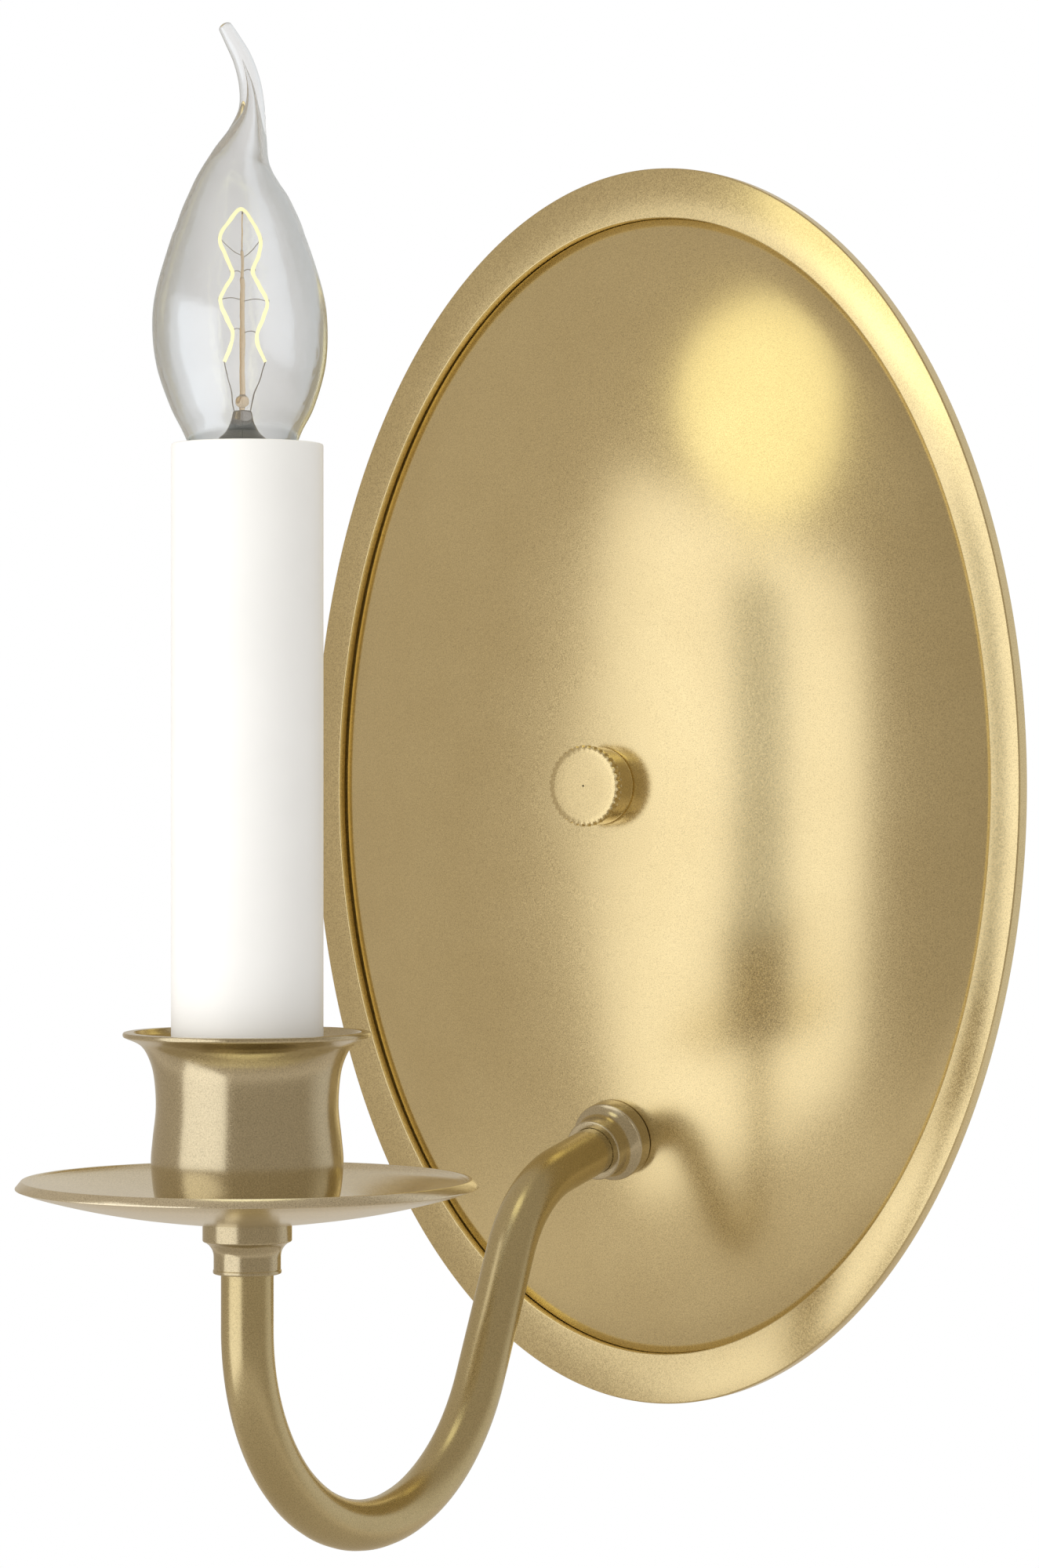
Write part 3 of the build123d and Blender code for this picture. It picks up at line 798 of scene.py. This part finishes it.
def build_bulb_inside():
    stem = lathe("bulb_stem_drawn", round_outline([
        (0.05, 45.0), (3.3, 45.0, 0.3), (3.3, 54.0, 1.5), (4.6, 60.5, 1.2), (4.5, 62.3, 0.6),
        (2.9, 63.6, 0.8), (2.1, 65.4, 0.8), (1.65, 67.5, 0.3), (0.05, 67.6),
    ]), SMOKED, "bulb", INSIDE, count=64)
    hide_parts("bulb_stem")
    rod = lathe("bulb_rod_drawn", round_outline([
        (0.02, 67.6), (0.5, 67.6), (0.55, 68.2, 0.1), (1.2, 68.7, 0.4), (1.2, 69.7, 0.4),
        (0.5, 70.2, 0.2), (0.45, 91.0, 0.1), (0.3, 91.3, 0.1), (0.28, 96.0, 0.05),
        (0.13, 96.3, 0.05), (0.13, 103.0), (0.02, 103.0),
    ]), ROD_GLASS, "bulb", INSIDE, count=32)
    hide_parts("bulb_rod")


# filament, as (across, height)
LOOP = [
    (3.2, 76.3), (2.1, 79.0), (1.75, 81.6), (3.1, 84.6), (4.0, 87.3), (2.7, 90.0), (1.8, 92.2),
    (2.9, 95.0), (4.05, 98.3), (2.4, 101.2), (0.3, 103.55), (-1.6, 101.6), (-3.25, 98.2),
    (-2.9, 95.2), (-1.9, 92.4), (-3.1, 89.8), (-4.5, 87.0), (-3.8, 84.0), (-2.7, 81.2),
    (-2.9, 79.0), (-4.1, 76.2),
]
# hooks, as (across, height, which way they bow)
HOOKS = [
    (1.8, 81.9, 1), (-2.6, 81.4, 1), (4.0, 87.3, 1), (-4.5, 87.0, 1),
    (1.8, 92.2, 1), (-1.9, 92.4, 1), (4.0, 98.3, -1), (-3.2, 98.0, -1),
]
HOOK_RADIUS, FEED_RADIUS = 0.075, 0.11
FEED_FOOT = 67.55


def loop_point(across, height, deep=0.0):
    """Point of the filament's plane, or deep in front of it."""
    return BULB_SIDE * across + BULB_FACE * deep + Vector((0, 0, height))


def build_filament():
    """Flat ribbon in an hourglass loop, held by fine hooks."""
    flat = curve_through(LOOP, 8)
    path = [loop_point(x, z) for x, z in flat]

    def ribbon(share, angle):
        width = 0.18 + 0.05 * math.sin(share * 19.0)
        return (width * math.cos(angle), 0.34 * math.sin(angle))

    loop = swept(
        "filament_ribbon", path, ribbon, BULB_FACE, FILAMENT, "bulb", INSIDE)
    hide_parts("bulb_filament")


def strand(verts, faces, path, radius):
    """Adds a wire along path to verts and faces."""
    base = len(verts)
    count = 10
    for i, point in enumerate(path):
        along = (path[min(i + 1, len(path) - 1)] - path[max(i - 1, 0)]).normalized()
        across = (BULB_FACE - along * BULB_FACE.dot(along)).normalized()
        up = along.cross(across)
        for k in range(count):
            t = 2 * math.pi * k / count
            verts.append(tuple(point + (across * math.cos(t) + up * math.sin(t)) * radius))
    for face in ring_faces(len(path), count, False) + end_caps(len(path), count):
        faces.append(tuple(base + v for v in face))


def build_supports():
    """Hooked wires from the rod to the ribbon, and the two wires that feed it."""
    verts, faces = [], []
    for across, height, bowing in HOOKS:
        side = math.copysign(1.0, across)
        root = height + (-3.0 if height > 97 else 0.0)
        path = []
        for i in range(9):
            t = i / 8
            x = side * 0.3 + (across - side * 0.3) * t
            z = root + (height - root) * t + 0.35 * math.sin(math.pi * t) * bowing
            path.append(loop_point(x, z, 0.25 * t))
        for i in range(1, 6):
            t = math.pi * i / 5
            x = across + side * 0.42 * math.sin(t)
            z = height + 0.35 * (1 - math.cos(t)) / 2
            path.append(loop_point(x, z, 0.25 - 0.25 * t / math.pi))
        strand(verts, faces, path, HOOK_RADIUS)
    top = [loop_point(0.0, 102.6), loop_point(0.0, 103.1), loop_point(0.25, 103.5)]
    strand(verts, faces, top, HOOK_RADIUS)
    hooks = mesh_object("support_hooks", verts, faces, WIRE, "bulb", INSIDE)
    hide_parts("bulb_supports")
    verts, faces = [], []
    for (across, height), side in ((LOOP[0], 1), (LOOP[-1], -1)):
        path = []
        for i in range(13):
            t = i / 12
            sway = 0.18 * math.sin(t * 9.0 + side)
            x = side * 1.35 + (across - side * 1.35) * t + sway * (1 - t)
            path.append(loop_point(x, FEED_FOOT + (height - FEED_FOOT) * t))
        strand(verts, faces, path, FEED_RADIUS)
    leads = mesh_object("feed_wires", verts, faces, WIRE, "bulb", INSIDE)
    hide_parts("bulb_leads")


def build_cap():
    """Rolled screw cap and the socket's screw shell, with their threads."""
    low, high = (corner.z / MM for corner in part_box("bulb_cap"))
    cap = threaded_shell(
        "bulb_cap_rolled", 5.95, 0.42, low + 1.0, high - 1.6, "bulb",
        [(5.0, low), (5.5, low + 0.3)], [(5.95, high - 0.9), (5.95, high)])
    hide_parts("bulb_cap")
    low, high = (corner.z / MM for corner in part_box("socket_shell"))
    shell = threaded_shell(
        "socket_shell_rolled", 6.42, 0.05, low + 0.5, high - 1.0, "fixture",
        [(6.42, low)], [(6.42, high)])
    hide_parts("socket_shell")


# wall bracket


def build_stud():
    reach = -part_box("center_stud")[0].y / MM
    stud = threaded_bar(
        "stud_thread", 3.17, 0.32, 1.27, 0.25, reach, 0.0, "wall_bracket", WALL)
    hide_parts("center_stud")


# nodes that keep their CAD shape
CARRIED = {
    "mounting_strap": ZINC, "stud_lock_nut": ZINC, "ground_screw": GREEN, "nut_washer": FIBRE,
    "arm_lock_washer": ZINC, "arm_lock_nut": ZINC, "cup_nipple": ZINC, "cup_washer": ZINC,
    "cup_lock_nut": ZINC, "socket_bracket": ZINC, "socket_body": SOCKET,
    "bracket_rivets": NICKEL, "terminal_screws": CONTACT,
    "socket_contact": CONTACT, "bulb_contact": CONTACT, "bulb_insulator": INSULATOR,
    "lead_hot": LEAD_BLACK, "lead_neutral": LEAD_WHITE,
}


def paint_cad():
    for name, material in CARRIED.items():
        node = frame["nodes"][name]
        node.data.materials.clear()
        node.data.materials.append(material)


# light and floor


def softbox(name, place, facing, width, height, radiance, seen):
    """Oblong light of even brightness.

    facing is the way it shines, and seen says if metal reflects it.
    """
    light = bpy.data.lights.new(name, "AREA")
    light.shape = "RECTANGLE"
    light.size = width
    light.size_y = height
    light.energy = radiance * math.pi * width * height
    lamp = bpy.data.objects.new(name, light)
    lamp.visible_glossy = seen
    lamp.location = place
    lamp.rotation_mode = "QUATERNION"
    lamp.rotation_quaternion = (-Vector(facing)).to_track_quat("Z", "Y")
    lamp.visible_camera = False
    lamp.visible_transmission = False
    bpy.context.scene.collection.objects.link(lamp)


def add_lights():
    """Softbox close to the plate, a fill that isn't reflected, and the warm glow of the bulb."""
    softbox("key", (-0.052, -0.398, -0.037), (0.672, 0.740, 0.0), 0.317, 0.363, 0.82, True)
    softbox("fill", (-0.3, -1.9, 0.2), (0.2, 1.9, -0.2), 1.0, 1.0, 2.2, False)
    radius = 0.048
    glow = bpy.data.lights.new("bulb_glow", "POINT")
    glow.energy = 0.92 * 4 * math.pi**2 * radius**2
    glow.color = (1.0, 0.97, 0.64)
    glow.shadow_soft_size = radius
    lamp = bpy.data.objects.new("bulb_glow", glow)
    lamp.location = CANDLE @ Vector((0, 0, 0.134))
    lamp.visible_camera = False
    lamp.visible_transmission = False
    bpy.context.scene.collection.objects.link(lamp)
    lit = bpy.data.collections.new("lit_by_bulb")
    for piece in bpy.context.scene.objects:
        if piece.type == "MESH" and not piece.name.startswith("bulb_"):
            lit.objects.link(piece)
    lamp.light_linking.receiver_collection = lit
    lamp.light_linking.blocker_collection = lit


def build_world():
    """White behind the object, and a dimmer room for it to reflect."""
    world = bpy.data.worlds.new("studio")
    bpy.context.scene.world = world
    world.use_nodes = True
    nodes = Nodes(world.node_tree)
    place = nodes.add("ShaderNodeTexCoord")
    split = nodes.add("ShaderNodeSeparateXYZ")
    nodes.link(place, "Generated", split, "Vector")
    across = span(nodes, split, 0.0, 1.0, "X", -1.0, 1.0)
    room = ramp(nodes, across, [
        (0.0, (0.49, 0.42, 0.33)),
        (0.45, (0.47, 0.40, 0.31)),
        (0.62, (0.39, 0.33, 0.25)),
        (1.0, (0.40, 0.34, 0.26)),
    ])
    below = span(nodes, split, 0.0, 1.0, "Z", -1.0, 1.0)
    ground = ramp(nodes, below, [
        (0.0, (0.46, 0.39, 0.30)),
        (0.20, (0.50, 0.43, 0.34)),
        (0.29, (0.64, 0.56, 0.46)),
        (1.0, (0.64, 0.56, 0.46)),
    ])
    behind = span(nodes, split, 0.0, 1.0, "Y", 0.35, 0.85)
    behind.interpolation_type = "SMOOTHSTEP"
    back = nodes.add("ShaderNodeMix", data_type="RGBA")
    back.inputs[MIX_SECOND].default_value = (0.66, 0.61, 0.54, 1)
    nodes.link(behind, "Result", back, "Factor")
    nodes.link(room, "Color", back, MIX_FIRST)
    down = span(nodes, split, 0.0, 1.0, "Z", -0.27, -0.43)
    down.interpolation_type = "SMOOTHSTEP"
    whole = nodes.add("ShaderNodeMix", data_type="RGBA")
    nodes.link(down, "Result", whole, "Factor")
    nodes.link(back, MIX_RESULT, whole, MIX_FIRST)
    nodes.link(ground, "Color", whole, MIX_SECOND)
    dim = nodes.add("ShaderNodeBackground", Strength=1.0)
    nodes.link(whole, MIX_RESULT, dim, "Color")
    soft = nodes.add("ShaderNodeBackground", Strength=0.78, Color=(1, 1, 1, 1))
    white = nodes.add("ShaderNodeBackground", Strength=1.0, Color=(1, 1, 1, 1))
    rays = nodes.add("ShaderNodeLightPath")
    diffuse = nodes.add("ShaderNodeMixShader")
    nodes.link(rays, "Is Diffuse Ray", diffuse, "Fac")
    nodes.link(dim, "Background", diffuse, 1)
    nodes.link(soft, "Background", diffuse, 2)
    either = nodes.add("ShaderNodeMath", operation="MAXIMUM")
    nodes.link(rays, "Is Camera Ray", either, 0)
    nodes.link(rays, "Is Transmission Ray", either, 1)
    mix = nodes.add("ShaderNodeMixShader")
    nodes.link(either, "Value", mix, "Fac")
    nodes.link(diffuse, "Shader", mix, 1)
    nodes.link(white, "Background", mix, 2)
    output = nodes.add("ShaderNodeOutputWorld")
    nodes.link(mix, "Shader", output, "Surface")


def add_floor():
    """Plain pale disc below the part, which the metal doesn't reflect."""
    verts = circle(1.4, -0.55, 96)
    mesh = bpy.data.meshes.new("floor")
    mesh.from_pydata(verts, [], [tuple(range(len(verts)))])
    mesh.materials.append(FLOOR)
    floor = bpy.data.objects.new("floor", mesh)
    bpy.context.scene.collection.objects.link(floor)
    floor.visible_glossy = False


add_camera()
build_rim()
build_dome()
build_nut()
build_arm()
build_dish()
build_cup()
build_sleeve()
build_glass()
build_bulb_inside()
build_filament()
build_supports()
build_cap()
build_stud()
paint_cad()
add_lights()
build_world()
add_floor()
bpy.context.scene.view_settings.view_transform = "Standard"
